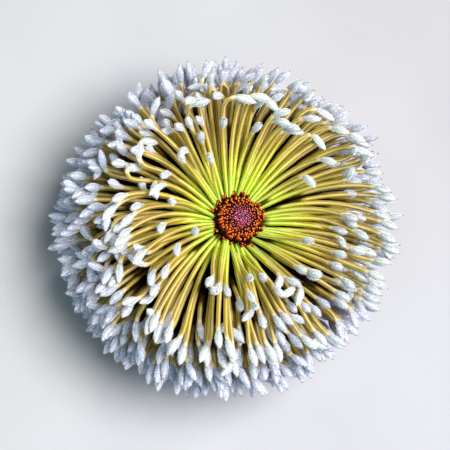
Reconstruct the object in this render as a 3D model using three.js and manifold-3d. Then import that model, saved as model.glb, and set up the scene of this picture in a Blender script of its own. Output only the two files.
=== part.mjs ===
// A banksia flower head in full bud, cut close under the spike and standing on its cut stalk.
//
// Hundreds of long, slender florets grow in a spiral round a woody axis, so closely that their
// roots cover it. Each floret is a thin tube that ends in a pointed, woolly limb. The lowest
// florets droop, those half-way up stand straight out, and the top ones rise round a shallow
// hollow and curve over. In the floor of the hollow is the growing tip of the axis: a dome covered
// with small pointed bracts. The head grew facing sideways, so its florets still hang towards one
// side and stand up towards the light on another, and neighbours lean together in bunches. Each
// solid floret here stands for three or four florets, which grow side by side.
//
// Units are millimetres, +Z is up the axis, and the origin is the centre of the stalk's cut face.

import * as THREE from "three";
import { mergeVertices } from "three/addons/utils/BufferGeometryUtils.js";
import Module from "manifold-3d";

const wasm = await Module();
wasm.setup();

// ---------------------------------------------------------------- driving dimensions

const GAP = 0.3; // between solids that touch on the plant
const GOLDEN_ANGLE = THREE.MathUtils.degToRad(137.50776);

const AXIS = { foot: 12.6, top: 48.2, footRadius: 8.0, topRadius: 6.4, bevel: 0.8, sides: 20 };
const SPIKE = { solids: 296, lowest: 15.4, highest: 46.2 }; // heights of the florets' roots

const FLORET = {
  length: 42, // from the axis to the tip of the limb
  lowestLength: 0.8, // share of it that the lowest florets have
  sunk: 1.5, // how deep the root goes into the axis
  rootRadius: 0.72,
  tubeRadius: 0.95,
  neckRadius: 0.76,
  ringAt: 0.64, // the tube's ring of corners, as a share of the way to the neck
  limbLength: 6.6,
  limbRadius: 1.75,
  limbWidest: 0.45, // share of the limb's length, from the neck
  flatness: 1.25, // width over thickness, for florets that lie side by side
  sides: 3,
};

// How the florets are held, in degrees above level: in the lowest row, half-way up the spike and
// in the top row. A floret bends evenly from its root's lift to its tip's.
const LIFT = { root: [-17, 12, 36], tip: [-15, 11, 15], bending: 1.3 };

// How far the florets hang over towards one side, in the same three rows: the share of this
// direction that is added to their own at the tip.
const HANG = { rows: [0.15, 0.5, 0.82], towards: [0.22, -0.92, 0.33], bending: 1.6 };

// The side of the head towards the light, as an azimuth in degrees. There the florets rise more, by
// these degrees in the three rows, and their limbs turn up besides.
const LIGHT = { side: 0, rows: [0, 2, 20], rootShare: 0.4, limbRise: 30 };

// Neighbours lean together in bunches: how many bunches go round the head, how far a floret turns
// sideways into its bunch, in degrees, and where the first bunch is. The lower rows do so less.
const BUNCHES = [
  { count: 4, most: 10, phase: -2.93 },
  { count: 11, most: 7.5, phase: 2.1 },
];
const BUNCHING = [0.2, 0.45, 1];

// Where the bunches part the most, as an azimuth in degrees, and by what share more than elsewhere.
const OPENING = { side: -45, more: 0.7 };

// How much one floret differs from the next, either way: its lift at the root and the tip, its
// length as a share, and how far it swings sideways, in degrees.
const SPREAD = { root: 4, tip: 8, length: 0.04, swing: 5 };

// From this share of the spike's height upwards, more and more florets are young ones that stand
// up steeply. They are shorter, hang over less and swing further sideways. In the top row this
// share of the florets is still full-grown. On one side of the head the florets are later by a
// share, and a solid has the mean age of the florets that it stands for.
const YOUNG = {
  from: 0.45,
  grown: 0.62,
  root: 16,
  tip: 56,
  steepest: 84,
  shorter: 0.34,
  stiffer: 0.7,
  swing: 8,
  side: -100,
  later: 0.4,
  meanAge: 0.7,
};

// Some limbs are turned sideways or nod, by these degrees, between these shares of the length. The
// shares of such limbs are given for the spike and for what the top row has more.
const TURNED = { share: 0.08, topShare: 0.3, least: 40, most: 105 };
const NODDING = { share: 0.15, topShare: 0.3, most: 55 };
const LIMB_BENDS = { from: 0.7, to: 0.92 };

const CROWN = { radius: 5.9, rim: 0.8, height: 4.3, roundness: 2.2, sides: 24 };
const CROWN_RINGS = [1, 0.86, 0.66, 0.42, 0.18]; // shares of its radius
const BRACT = { count: 84, radius: 0.62, height: 1.6, sunk: 0.5, sides: 3 };
const BRACT_SIZE = { middle: 0.62, rim: 1.15 };

// How far the bracts lean away from the axis, in degrees. The middle ones close over the tip.
const BRACT_LEAN = { middle: -66, rim: 14 };

// Bunches of larger bracts round the dome's foot, and how far apart the bracts of one spread.
const TUFT = { count: 17, bracts: 2, apart: 7, size: 1.2, lean: 62, leanSpread: 8, turnSpread: 0.3 };

const STALK = { radius: 6.2, waist: 5.9, waistAt: 0.4, shoulderAt: 0.7, bevel: 0.4, sides: 20 };
const SCAR = { count: 3, radius: 1.6, thickness: 0.6, tallness: 0.7, lowest: 0.3, highest: 0.72 };

// ---------------------------------------------------------------- small tools

const mix = THREE.MathUtils.lerp;
const radians = THREE.MathUtils.degToRad;
const smooth = (t) => THREE.MathUtils.smoothstep(t, 0, 1);
const UP = new THREE.Vector3(0, 0, 1);

// The traits that are drawn for each floret or bract. Each has draws of its own.
const TRAIT = {
  rootLift: 2,
  youth: 3,
  length: 4,
  swing: 6,
  limbBend: 7,
  turnedBy: 8,
  turnedSide: 9,
  tipLift: 10,
  nod: 12,
  tuftTurn: 57,
  tuftLean: 54,
};

// A repeatable draw from 0 to 1 of a trait of floret or bract i, and one from -1 to 1.
function draw(i, trait) {
  const x = Math.sin(12.9898 * i + 78.233 * trait + 37.719) * 43758.5453;
  return x - Math.floor(x);
}
const spread = (i, trait) => 2 * draw(i, trait) - 1;

// How far an azimuth faces a side given in degrees: 1 towards it and -1 away from it.
const facing = (azimuth, side) => Math.cos(azimuth - radians(side));

// The value at a share of the spike's height, between those of its lowest, middle and top rows.
function alongSpike([lowest, middle, top], share) {
  return share < 0.5 ? mix(lowest, middle, share / 0.5) : mix(middle, top, (share - 0.5) / 0.5);
}

// A closed three.js geometry as a manifold solid, facing out whichever way it was wound.
function solidOf(geometry) {
  const bare = geometry.clone();
  bare.deleteAttribute("normal");
  bare.deleteAttribute("uv");
  const merged = mergeVertices(bare, 1e-4);
  const index = merged.index.array;
  const corners = [];
  for (let t = 0; t < index.length; t += 3) {
    const [a, b, c] = index.subarray(t, t + 3);
    if (a !== b && b !== c && c !== a) corners.push(a, b, c);
  }
  const positions = merged.attributes.position;
  if (signedVolume(positions, corners) < 0) corners.reverse();
  return new wasm.Manifold(
    new wasm.Mesh({
      numProp: 3,
      vertProperties: positions.array,
      triVerts: new Uint32Array(corners),
    }),
  );
}

function signedVolume(positions, corners) {
  const [a, b, c] = [new THREE.Vector3(), new THREE.Vector3(), new THREE.Vector3()];
  let sum = 0;
  for (let t = 0; t < corners.length; t += 3) {
    a.fromBufferAttribute(positions, corners[t]);
    b.fromBufferAttribute(positions, corners[t + 1]);
    c.fromBufferAttribute(positions, corners[t + 2]);
    sum += a.dot(b.cross(c));
  }
  return sum;
}

function geometryOf(solid) {
  const { numProp, numVert, vertProperties, triVerts } = solid.getMesh();
  const positions = new Float32Array(numVert * 3);
  for (let i = 0; i < numVert; i++) {
    positions.set(vertProperties.subarray(i * numProp, i * numProp + 3), i * 3);
  }
  const geometry = new THREE.BufferGeometry();
  geometry.setAttribute("position", new THREE.BufferAttribute(positions, 3));
  geometry.setIndex(new THREE.BufferAttribute(new Uint32Array(triVerts), 1));
  geometry.computeVertexNormals();
  return geometry;
}

// A turned solid about +Z, from [radius, height] pairs that start and end on the axis.
function turned(outline, sides) {
  const points = outline.map(([radius, height]) => new THREE.Vector2(radius, height));
  return new THREE.LatheGeometry(points, sides).rotateX(Math.PI / 2);
}

// ---------------------------------------------------------------- florets

// How floret i grows: where its root is, which way it leaves the axis and how it bends.
function habitOf(i) {
  const share = (i + 0.5) / SPIKE.solids; // 0 at the foot of the spike, 1 at its top
  const azimuth = i * GOLDEN_ANGLE;
  const topness = smooth((share - YOUNG.from) / (1 - YOUNG.from));
  const lateness = YOUNG.meanAge * (1 + YOUNG.later * facing(azimuth, YOUNG.side));
  const unopened = smooth((draw(i, TRAIT.youth) - YOUNG.grown) / (1 - YOUNG.grown));
  const youth = unopened * topness * lateness;
  const turned = draw(i, TRAIT.limbBend) < TURNED.share + TURNED.topShare * topness;
  const nods = draw(i, TRAIT.limbBend) < NODDING.share + NODDING.topShare * topness;
  const turnedBy = mix(TURNED.least, TURNED.most, draw(i, TRAIT.turnedBy));
  const rootLift = alongSpike(LIFT.root, share) + SPREAD.root * spread(i, TRAIT.rootLift);
  const tipLift = alongSpike(LIFT.tip, share) + SPREAD.tip * spread(i, TRAIT.tipLift);
  const grown = alongSpike([FLORET.lowestLength, 1, 1], share);
  const bunching = BUNCHES.map(({ count, most, phase }) => most * Math.sin(count * azimuth + phase));
  const parting = alongSpike(BUNCHING, share) * (1 + OPENING.more * facing(azimuth, OPENING.side));
  const lightness = 0.5 + 0.5 * facing(azimuth, LIGHT.side);
  const lightward = alongSpike(LIGHT.rows, share) * lightness;
  return {
    height: mix(SPIKE.lowest, SPIKE.highest, share),
    radius: mix(AXIS.footRadius, AXIS.topRadius, share),
    azimuth,
    bunching: parting * (bunching[0] + bunching[1]),
    hanging: alongSpike(HANG.rows, share) * (1 - YOUNG.stiffer * youth),
    rootLift: rootLift + LIGHT.rootShare * lightward + YOUNG.root * youth,
    tipLift: Math.min(YOUNG.steepest, tipLift + lightward + YOUNG.tip * youth),
    length:
      FLORET.length *
      grown *
      (1 + SPREAD.length * spread(i, TRAIT.length)) *
      (1 - YOUNG.shorter * youth),
    swing: (SPREAD.swing + YOUNG.swing * topness) * spread(i, TRAIT.swing),
    turn: turned ? turnedBy * Math.sign(spread(i, TRAIT.turnedSide)) : 0,
    nod: (nods ? NODDING.most * draw(i, TRAIT.nod) : 0) - LIGHT.limbRise * lightness * (1 - youth),
  };
}

// Which way a floret runs at a share of its length.
function directionOf(habit, share) {
  const limbBend = smooth((share - LIMB_BENDS.from) / (LIMB_BENDS.to - LIMB_BENDS.from));
  const bent = mix(habit.rootLift, habit.tipLift, share ** LIFT.bending);
  const lift = radians(bent - habit.nod * limbBend);
  const aside = habit.bunching * share + habit.swing * share ** 2 + habit.turn * limbBend;
  const heading = habit.azimuth + radians(aside);
  const along = new THREE.Vector3(
    Math.cos(lift) * Math.cos(heading),
    Math.cos(lift) * Math.sin(heading),
    Math.sin(lift),
  );
  const hang = habit.hanging * share ** HANG.bending;
  return along.addScaledVector(new THREE.Vector3(...HANG.towards), hang).normalize();
}

// The floret's middle line: a point and its two crosswise directions at every step from root to
// tip. The crosswise directions follow the bends without turning round the line.
function middleLineOf(habit, steps = 24) {
  const point = new THREE.Vector3(habit.radius - FLORET.sunk, 0, habit.height);
  const side = new THREE.Vector3(0, 1, 0).applyAxisAngle(UP, habit.azimuth);
  point.applyAxisAngle(UP, habit.azimuth);
  const stride = (habit.length + FLORET.sunk) / steps;
  const line = [];
  for (let k = 0; k <= steps; k++) {
    const along = directionOf(habit, (k + 0.5) / steps);
    side.addScaledVector(along, -side.dot(along)).normalize();
    line.push({ point: point.clone(), side: side.clone(), over: along.clone().cross(side) });
    point.addScaledVector(along, stride);
  }
  return line;
}

// Radius of the floret at a few distances along it, closed at both ends.
function floretOutline(whole) {
  const neck = whole - FLORET.limbLength;
  const outline = [
    [0, 0],
    [FLORET.rootRadius, 0],
    [FLORET.tubeRadius, neck * FLORET.ringAt],
    [FLORET.neckRadius, neck],
    [FLORET.limbRadius, neck + FLORET.limbLength * FLORET.limbWidest],
    [0, whole],
  ];
  return outline.map(([radius, distance]) => new THREE.Vector2(radius, distance));
}

// One floret: a turned shape of a few sides, bent along its middle line.
function floretSolid(i) {
  const habit = habitOf(i);
  const line = middleLineOf(habit);
  const whole = habit.length + FLORET.sunk;
  const shape = new THREE.LatheGeometry(floretOutline(whole), FLORET.sides);
  const positions = shape.attributes.position;
  const corner = new THREE.Vector3();
  for (let v = 0; v < positions.count; v++) {
    corner.fromBufferAttribute(positions, v);
    const at = (corner.y / whole) * (line.length - 1);
    const from = line[Math.floor(at)];
    const to = line[Math.min(line.length - 1, Math.floor(at) + 1)];
    const bent = from.point.clone().lerp(to.point, at % 1);
    bent.addScaledVector(from.side, corner.x * FLORET.flatness);
    bent.addScaledVector(from.over, -corner.z);
    positions.setXYZ(v, bent.x, bent.y, bent.z);
  }
  return solidOf(shape);
}

// The woody axis of the spike, which every floret grows from.
function axisSolid() {
  return solidOf(
    turned(
      [
        [0, AXIS.foot],
        [AXIS.footRadius - AXIS.bevel, AXIS.foot],
        [AXIS.footRadius, AXIS.foot + AXIS.bevel],
        [AXIS.topRadius, SPIKE.highest],
        [AXIS.topRadius - AXIS.bevel / 2, AXIS.top],
        [0, AXIS.top],
      ],
      AXIS.sides,
    ),
  );
}

function floretHead() {
  const florets = Array.from({ length: SPIKE.solids }, (_, i) => floretSolid(i));
  return wasm.Manifold.union([axisSolid(), ...florets]);
}

// ---------------------------------------------------------------- growing tip

// Height of the crown's dome above its foot at a distance from the axis.
function domeHeight(distance) {
  const share = Math.min(1, distance / CROWN.radius);
  return CROWN.rim + (CROWN.height - CROWN.rim) * (1 - share ** CROWN.roundness);
}

function crownDome(foot) {
  const rounded = CROWN_RINGS.map((share) => {
    const distance = share * CROWN.radius;
    return [distance, foot + domeHeight(distance)];
  });
  const outline = [[0, foot], [CROWN.radius, foot], ...rounded, [0, foot + domeHeight(0)]];
  return solidOf(turned(outline, CROWN.sides));
}

// A pointed bract that stands out of the dome, leaning away from the axis or over it.
function bract(foot, distance, azimuth, lean, size) {
  const height = BRACT.height * size;
  const cone = new THREE.ConeGeometry(BRACT.radius * size, height, BRACT.sides);
  cone.translate(0, height / 2 - BRACT.sunk, 0);
  cone.rotateX(Math.PI / 2); // the point now runs up +Z
  cone.rotateY(radians(lean)); // and leans towards +X
  cone.translate(distance, 0, foot + domeHeight(distance));
  cone.rotateZ(azimuth);
  return solidOf(cone);
}

// The bracts that cover the dome, in the same spiral as the florets.
function domeBract(foot, k) {
  const share = Math.sqrt((k + 0.5) / BRACT.count);
  const distance = share * CROWN.radius;
  const lean = mix(BRACT_LEAN.middle, BRACT_LEAN.rim, share);
  const size = mix(BRACT_SIZE.middle, BRACT_SIZE.rim, share);
  return bract(foot, distance, k * GOLDEN_ANGLE, lean, size);
}

// The larger bracts round the dome's foot, which reach out between the roots of the top florets.
function tuftBract(foot, k) {
  const tuft = Math.floor(k / TUFT.bracts);
  const aside = TUFT.apart * ((k % TUFT.bracts) / (TUFT.bracts - 1) - 0.5);
  const turn = (tuft + TUFT.turnSpread * spread(tuft, TRAIT.tuftTurn)) / TUFT.count;
  const lean = TUFT.lean + TUFT.leanSpread * spread(k, TRAIT.tuftLean);
  return bract(foot, CROWN.radius, turn * 2 * Math.PI + radians(aside), lean, TUFT.size);
}

function crownSolid() {
  const foot = AXIS.top + GAP;
  const bracts = Array.from({ length: BRACT.count }, (_, k) => domeBract(foot, k));
  const tufts = Array.from({ length: TUFT.count * TUFT.bracts }, (_, k) => tuftBract(foot, k));
  return wasm.Manifold.union([crownDome(foot), ...bracts, ...tufts]);
}

// ---------------------------------------------------------------- stalk

// The cut stub of woody stalk, with the scars of the leaves that grew under the spike.
function stalkSolid() {
  const top = AXIS.foot - GAP;
  const stub = solidOf(
    turned(
      [
        [0, 0],
        [STALK.radius - STALK.bevel, 0],
        [STALK.radius, STALK.bevel],
        [STALK.waist, top * STALK.waistAt],
        [STALK.radius, top * STALK.shoulderAt],
        [AXIS.footRadius - AXIS.bevel, top],
        [0, top],
      ],
      STALK.sides,
    ),
  );
  const scars = Array.from({ length: SCAR.count }, (_, k) => {
    const scar = new THREE.SphereGeometry(SCAR.radius, 8, 5);
    scar.scale(SCAR.thickness, 1, SCAR.tallness);
    scar.translate(STALK.waist, 0, top * mix(SCAR.lowest, SCAR.highest, k / (SCAR.count - 1)));
    scar.rotateZ(k * GOLDEN_ANGLE);
    return solidOf(scar);
  });
  return wasm.Manifold.union([stub, ...scars]);
}

// ---------------------------------------------------------------- the flower head

function piece(name, solid, colour, roughness) {
  const material = new THREE.MeshStandardMaterial({ color: colour, roughness, metalness: 0 });
  const mesh = new THREE.Mesh(geometryOf(solid), material);
  mesh.name = name;
  return mesh;
}

const flowerHead = new THREE.Group();
flowerHead.add(
  piece("floret_head", floretHead(), "#c6bd82", 0.75),
  piece("bract_crown", crownSolid(), "#7c2a1c", 0.8),
  piece("stalk", stalkSolid(), "#6d5138", 0.9),
);

export default flowerHead;
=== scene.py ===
# A banksia flower head in full bud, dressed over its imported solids, in metres.
#
# The head is put together from the ground up: the cut stalk, the woody axis with its velvety
# bracts, the florets, the wool on their limbs, and the growing tip. The floor, the lights and the
# camera come last.

import math

import bpy
import numpy as np
from mathutils import Matrix, Vector, noise


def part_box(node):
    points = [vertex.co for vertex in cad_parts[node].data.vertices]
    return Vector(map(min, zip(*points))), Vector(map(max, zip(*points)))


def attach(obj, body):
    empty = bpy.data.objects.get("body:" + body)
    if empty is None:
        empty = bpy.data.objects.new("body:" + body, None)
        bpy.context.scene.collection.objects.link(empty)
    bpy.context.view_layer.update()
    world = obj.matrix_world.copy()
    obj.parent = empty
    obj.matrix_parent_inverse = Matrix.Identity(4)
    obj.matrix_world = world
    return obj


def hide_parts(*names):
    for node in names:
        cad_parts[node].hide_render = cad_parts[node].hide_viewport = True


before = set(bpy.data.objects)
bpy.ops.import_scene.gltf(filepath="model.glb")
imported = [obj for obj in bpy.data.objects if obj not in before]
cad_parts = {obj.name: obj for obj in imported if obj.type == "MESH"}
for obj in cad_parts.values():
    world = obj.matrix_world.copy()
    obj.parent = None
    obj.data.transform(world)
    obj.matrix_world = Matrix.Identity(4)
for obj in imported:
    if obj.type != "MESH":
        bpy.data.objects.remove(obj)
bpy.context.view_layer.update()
MM = 0.001


# ---------------------------------------------------------------- stalk
# The stub of the flowering branch, which the head stands on: hard wood under a thin, fissured
# bark, cut straight through. It carries the scars of the leaves that grew close under the spike.

STALK_FOOT, STALK_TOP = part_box("stalk")[0].z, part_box("stalk")[1].z
STALK_HEIGHT = STALK_TOP - STALK_FOOT
STALK_OUTLINE = [(0.0, 5.8), (0.033, 6.15), (0.4, 5.9), (0.7, 6.2), (1.0, 7.2)]  # share up, mm
STALK_SIDES = 96
STALK_RINGS = 40
WOOD_RADIUS = 6.4 * MM
WOOD_GRAIN = 0.5 * MM
FISSURE_WIDTH = 1.4 * MM
FISSURE_STRETCH = 4  # how many times longer than wide the fissures are
BARK_RELIEF = 0.22 * MM
BARK_WAVES = (4.8, 6.4)  # how often the bark swells and sinks round the stalk and up it
BARK_CUT_EDGE = 0.125  # the share of the stalk above the cut in which its relief begins
SCAR_SIZE = (1.7 * MM, 1.1 * MM, 0.6 * MM)  # half width, half height and how far it stands out
SCAR_DIP = 0.35  # what is left of a scar's relief in its middle
SCAR_DISHING = 2.2  # how steeply it climbs from there to its rim
SCAR_HEIGHTS = (0.3, 0.51, 0.72)  # shares of the stalk's height
GOLDEN_ANGLE = math.radians(137.50776)  # from one leaf, bract or floret to the next


def linear(hex_colour):
    """The linear colour of an sRGB hex value, for a shader's socket."""
    shares = [int(hex_colour[i:i + 2], 16) / 255 for i in (1, 3, 5)]
    curve = [s / 12.92 if s <= 0.04045 else ((s + 0.055) / 1.055) ** 2.4 for s in shares]
    return (*curve, 1.0)


def lay_stops(elements, stops):
    """Lays a ramp's stops, each a place from 0 to 1 and a hex colour."""
    while len(elements) < len(stops):
        elements.new(0.5)
    for element, (place, colour) in zip(elements, stops):
        element.position = place
        element.color = linear(colour)


def fill(tree, node, links):
    """Fills a node's sockets, by name or in order, with values, with sockets, or with nodes, which
    stand for their first output in use."""
    sockets = [socket for socket in node.inputs if socket.enabled]
    if isinstance(links, dict):
        named = {socket.name: socket for socket in sockets}
        sockets = [named[name] for name in links]
        links = links.values()
    for socket, value in zip(sockets, links):
        if isinstance(value, bpy.types.Node):
            value = next(output for output in value.outputs if output.enabled)
        if isinstance(value, bpy.types.NodeSocket):
            tree.links.new(value, socket)
        else:
            socket.default_value = value


def add(tree, kind, settings=None, links=()):
    """Adds a node with its settings, where a ramp's are its stops, and with its links."""
    made = tree.nodes.new(kind)
    for name, value in (settings or {}).items():
        if name == "stops":
            lay_stops(made.color_ramp.elements, value)
        else:
            setattr(made, name, value)
    fill(tree, made, links)
    return made


def new_material(name):
    """A new material, with its tree and its surface shader."""
    material = bpy.data.materials.new(name)
    material.use_nodes = True
    tree = material.node_tree
    return material, tree, tree.nodes["Principled BSDF"]


def stalk_bark():
    """Banksia bark: thin, dry and corky, finely fissured along the branch, with a matt surface."""
    material, tree, surface = new_material("stalk_bark")
    place = add(tree, "ShaderNodeTexCoord").outputs["Object"]
    along_grain = add(tree, "ShaderNodeMapping", links={
        "Vector": place, "Scale": (1, 1, 1 / FISSURE_STRETCH)})
    fissures = add(tree, "ShaderNodeTexNoise", links={
        "Vector": along_grain, "Scale": 1 / FISSURE_WIDTH, "Detail": 6.0, "Roughness": 0.6})
    colour = add(tree, "ShaderNodeValToRGB", {"stops": [
        (0.30, "#3b2a1e"), (0.46, "#6a4e37"), (0.60, "#8d7152"), (0.72, "#a8977a")]}, [fissures])
    relief = add(tree, "ShaderNodeBump", links={
        "Height": fissures, "Distance": 0.25 * MM, "Strength": 0.8})
    fill(tree, surface, {"Base Color": colour, "Normal": relief, "Roughness": 0.9})
    return material


def cut_wood():
    """A fresh cut across a living branch: pale wood, browner at its pith, with a green rim just
    under the dark bark."""
    material, tree, surface = new_material("cut_wood")
    place = add(tree, "ShaderNodeTexCoord").outputs["Object"]
    flat = add(tree, "ShaderNodeVectorMath", {"operation": "MULTIPLY"}, [place, (1, 1, 0)])
    distance = add(tree, "ShaderNodeVectorMath", {"operation": "LENGTH"}, [flat])
    grain = add(tree, "ShaderNodeTexNoise", links={
        "Vector": place, "Scale": 1 / WOOD_GRAIN, "Detail": 4.0})
    wavy = add(tree, "ShaderNodeMath", {"operation": "MULTIPLY_ADD"}, [grain, WOOD_GRAIN, distance])
    share = add(tree, "ShaderNodeMath", {"operation": "DIVIDE"}, [wavy, WOOD_RADIUS])
    colour = add(tree, "ShaderNodeValToRGB", {"stops": [
        (0.00, "#8a6d4c"), (0.16, "#b79468"), (0.22, "#cbb083"), (0.70, "#d8c198"),
        (0.86, "#b9a06c"), (0.90, "#7d7a3e"), (0.95, "#5a4029"), (1.00, "#3b2a1e")]}, [share])
    fill(tree, surface, {"Base Color": colour, "Roughness": 0.8})
    return material


def mix(a, b, share):
    return a + (b - a) * share


def stalk_radius(share):
    """The stalk's radius without its bark's relief, at a share of its height."""
    shares, radii = zip(*STALK_OUTLINE)
    return float(np.interp(share, shares, radii)) * MM


def scar_relief(angle, share):
    """How far a leaf scar lifts the bark: a low lens with a dip where the leaf stood."""
    half_width, half_height, lift = SCAR_SIZE
    relief = 0.0
    for k, scar_share in enumerate(SCAR_HEIGHTS):
        turned = (angle - k * GOLDEN_ANGLE + math.pi) % (2 * math.pi) - math.pi
        across = turned * stalk_radius(share) / half_width
        up = (share - scar_share) * STALK_HEIGHT / half_height
        out = across ** 2 + up ** 2
        if out < 1:
            relief += lift * (1 - out) * mix(SCAR_DIP, 1, min(1, SCAR_DISHING * out))
    return relief


def plain_object(name, vertices, faces, materials, smooth=True):
    """A new object from vertices and faces, with its materials."""
    mesh = bpy.data.meshes.new(name)
    mesh.from_pydata([tuple(v) for v in vertices], [], faces)
    for material in materials:
        mesh.materials.append(material)
    mesh.polygons.foreach_set("use_smooth", [smooth] * len(mesh.polygons))
    made = bpy.data.objects.new(name, mesh)
    bpy.context.scene.collection.objects.link(made)
    return made


def closed_tube(rings, sides):
    """The faces of rings of vertices that go round counter-clockwise and rise: those between the
    rings, and then one that closes the foot and one that closes the top."""
    faces = [
        (r * sides + s, r * sides + (s + 1) % sides,
         (r + 1) * sides + (s + 1) % sides, (r + 1) * sides + s)
        for r in range(rings - 1) for s in range(sides)
    ]
    last = (rings - 1) * sides
    return [*faces, tuple(reversed(range(sides))), tuple(range(last, last + sides))]


def settle(piece, node):
    """The whole head is one grown body, so each piece rides on it in place of its solid."""
    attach(piece, "root")
    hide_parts(node)


def make_stalk():
    round_waves, rising_waves = BARK_WAVES
    vertices = []
    for r in range(STALK_RINGS):
        share = r / (STALK_RINGS - 1)
        for s in range(STALK_SIDES):
            angle = 2 * math.pi * s / STALK_SIDES
            spot = Vector((math.cos(angle) * round_waves, math.sin(angle) * round_waves,
                           share * rising_waves))
            bark = BARK_RELIEF * noise.noise(spot) * min(1, share / BARK_CUT_EDGE)
            radius = stalk_radius(share) + bark + scar_relief(angle, share)
            height = STALK_FOOT + share * STALK_HEIGHT
            vertices.append((radius * math.cos(angle), radius * math.sin(angle), height))
    faces = closed_tube(STALK_RINGS, STALK_SIDES)
    stalk = plain_object("stalk_stub", vertices, faces, [stalk_bark(), cut_wood()])
    for cut in list(stalk.data.polygons)[-2:]:
        cut.material_index = 1
        cut.use_smooth = False
    settle(stalk, "stalk")


make_stalk()


# ---------------------------------------------------------------- axis
# The woody spike in the heart of the head. Between the roots of the florets it is packed with
# short floral bracts, covered with rust-coloured velvet, which show where the florets part.

AXIS_FOOT, AXIS_TOP = 12.6 * MM, 48.2 * MM
AXIS_RADII = (8.0 * MM, 6.4 * MM)  # at its foot and its top
AXIS_SIDES = 48
SPIKE_SEATS = 296  # places on the spike, each with a few florets side by side
SPIKE_ROOTS = (15.4 * MM, 46.2 * MM)  # heights of the lowest and the highest florets' roots
AXIS_OUTLINE = [(AXIS_FOOT, 0.9), (AXIS_FOOT + 0.8 * MM, 1.0), (SPIKE_ROOTS[1], 1.0),
                (AXIS_TOP, 0.94)]  # each a height and the share of the radius that it has there
BRACT_SIDES = 6
BRACT_OUTLINE = [(0, 0.5), (0.35, 0.62), (0.66, 0.54), (0.88, 0.32), (1, 0.05)]  # share, fullness
BRACT_THICKNESS, BRACT_WIDTH = 0.5, 0.8  # half of each, where its fullness is 1
BRACT_CUPPING = 0.35  # how far a bract bends inwards, as a share of its length
AXIS_BRACT = {
    "beside": 1.05 * MM,  # from the middle of its seat
    "uneven": 0.55 * MM,  # up or down from there
    "sunk": 0.3 * MM,
    "lean": (92, 70),  # degrees from straight up, in the lowest and in the top row
    "wobble": 6,
    "length": (2.0 * MM, 2.5 * MM),
    "width": 0.6,  # as a share of its length
}
AXIS_BRACT_TRAITS = {"height": 41, "length": 42, "lean": 43}
NAP_SIZE = 0.22 * MM  # the velvet's tufts of hairs
NAP_SHIFT = 0.5  # how much the nap shifts a bract's colours along it
PURPLE_REACH = (1.7 * MM, 2.5 * MM)  # from the head's middle, where purple turns to salmon
SALMON_REACH = (3.6 * MM, 4.8 * MM)  # and where salmon turns to orange


def bract_velvet():
    """Floral bracts: papery scales under a dense, short velvet. Their tips are orange, those of the
    next ones inwards salmon and the youngest pale purple, and all of them are nearly black below."""
    material, tree, surface = new_material("bract_velvet")
    tipness = add(tree, "ShaderNodeAttribute", {"attribute_name": "tipness"}).outputs["Fac"]
    place = add(tree, "ShaderNodeTexCoord").outputs["Object"]
    flat = add(tree, "ShaderNodeVectorMath", {"operation": "MULTIPLY"}, [place, (1, 1, 0)])
    distance = add(tree, "ShaderNodeVectorMath", {"operation": "LENGTH"}, [flat])
    nap = add(tree, "ShaderNodeTexNoise", links={
        "Vector": place, "Scale": 1 / NAP_SIZE, "Detail": 3.0})
    worn = add(tree, "ShaderNodeMath", {"operation": "MULTIPLY_ADD"}, [nap, NAP_SHIFT, tipness])
    height = add(tree, "ShaderNodeMath", {"operation": "SUBTRACT"}, [worn, NAP_SHIFT / 2])
    orange = add(tree, "ShaderNodeValToRGB", {"stops": [
        (0.50, "#0c0202"), (0.72, "#520a05"), (0.86, "#b8380a"), (1.00, "#ffa42a")]}, [height])
    salmon = add(tree, "ShaderNodeValToRGB", {"stops": [
        (0.56, "#100205"), (0.78, "#4c0812"), (0.91, "#a8382c"), (1.00, "#f4a484")]}, [height])
    purple = add(tree, "ShaderNodeValToRGB", {"stops": [
        (0.38, "#1c030c"), (0.68, "#6a0c32"), (0.88, "#9c2c60"), (1.00, "#f4c4d6")]}, [height])
    inner = add(tree, "ShaderNodeMapRange", links={
        "Value": distance, "From Min": PURPLE_REACH[0], "From Max": PURPLE_REACH[1]})
    outer = add(tree, "ShaderNodeMapRange", links={
        "Value": distance, "From Min": SALMON_REACH[0], "From Max": SALMON_REACH[1]})
    young = add(tree, "ShaderNodeMix", {"data_type": "RGBA"}, [inner, purple, salmon])
    colour = add(tree, "ShaderNodeMix", {"data_type": "RGBA"}, [outer, young, orange])
    relief = add(tree, "ShaderNodeBump", links={
        "Height": nap, "Distance": 0.06 * MM, "Strength": 0.7})
    fill(tree, surface, {"Base Color": colour, "Normal": relief, "Roughness": 0.8,
                         "Specular IOR Level": 0.15})
    return material


VELVET = bract_velvet()


def bract_shape():
    """One bract of unit length along +Z, which bends towards -X and comes to a point."""
    vertices = []
    for share, fullness in BRACT_OUTLINE:
        for s in range(BRACT_SIDES):
            angle = 2 * math.pi * s / BRACT_SIDES
            bend = -BRACT_CUPPING * share ** 2
            vertices.append((BRACT_THICKNESS * fullness * math.cos(angle) + bend,
                             BRACT_WIDTH * fullness * math.sin(angle), share))
    faces = closed_tube(len(BRACT_OUTLINE), BRACT_SIDES)
    bract = plain_object("bract_shape", vertices, faces, [])
    tipness = bract.data.attributes.new("tipness", "FLOAT", "POINT")
    tipness.data.foreach_set("value", [v[2] for v in vertices])
    return bract


BRACT = bract_shape()


def new_tree(name, sockets):
    """A Geometry Nodes tree with a geometry input and output and the named inputs."""
    tree = bpy.data.node_groups.new(name, "GeometryNodeTree")
    tree.interface.new_socket("Geometry", in_out="INPUT", socket_type="NodeSocketGeometry")
    for socket, kind in sockets.items():
        tree.interface.new_socket(socket, in_out="INPUT", socket_type=f"NodeSocket{kind}")
    tree.interface.new_socket("Geometry", in_out="OUTPUT", socket_type="NodeSocketGeometry")
    return tree, add(tree, "NodeGroupInput").outputs


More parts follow.
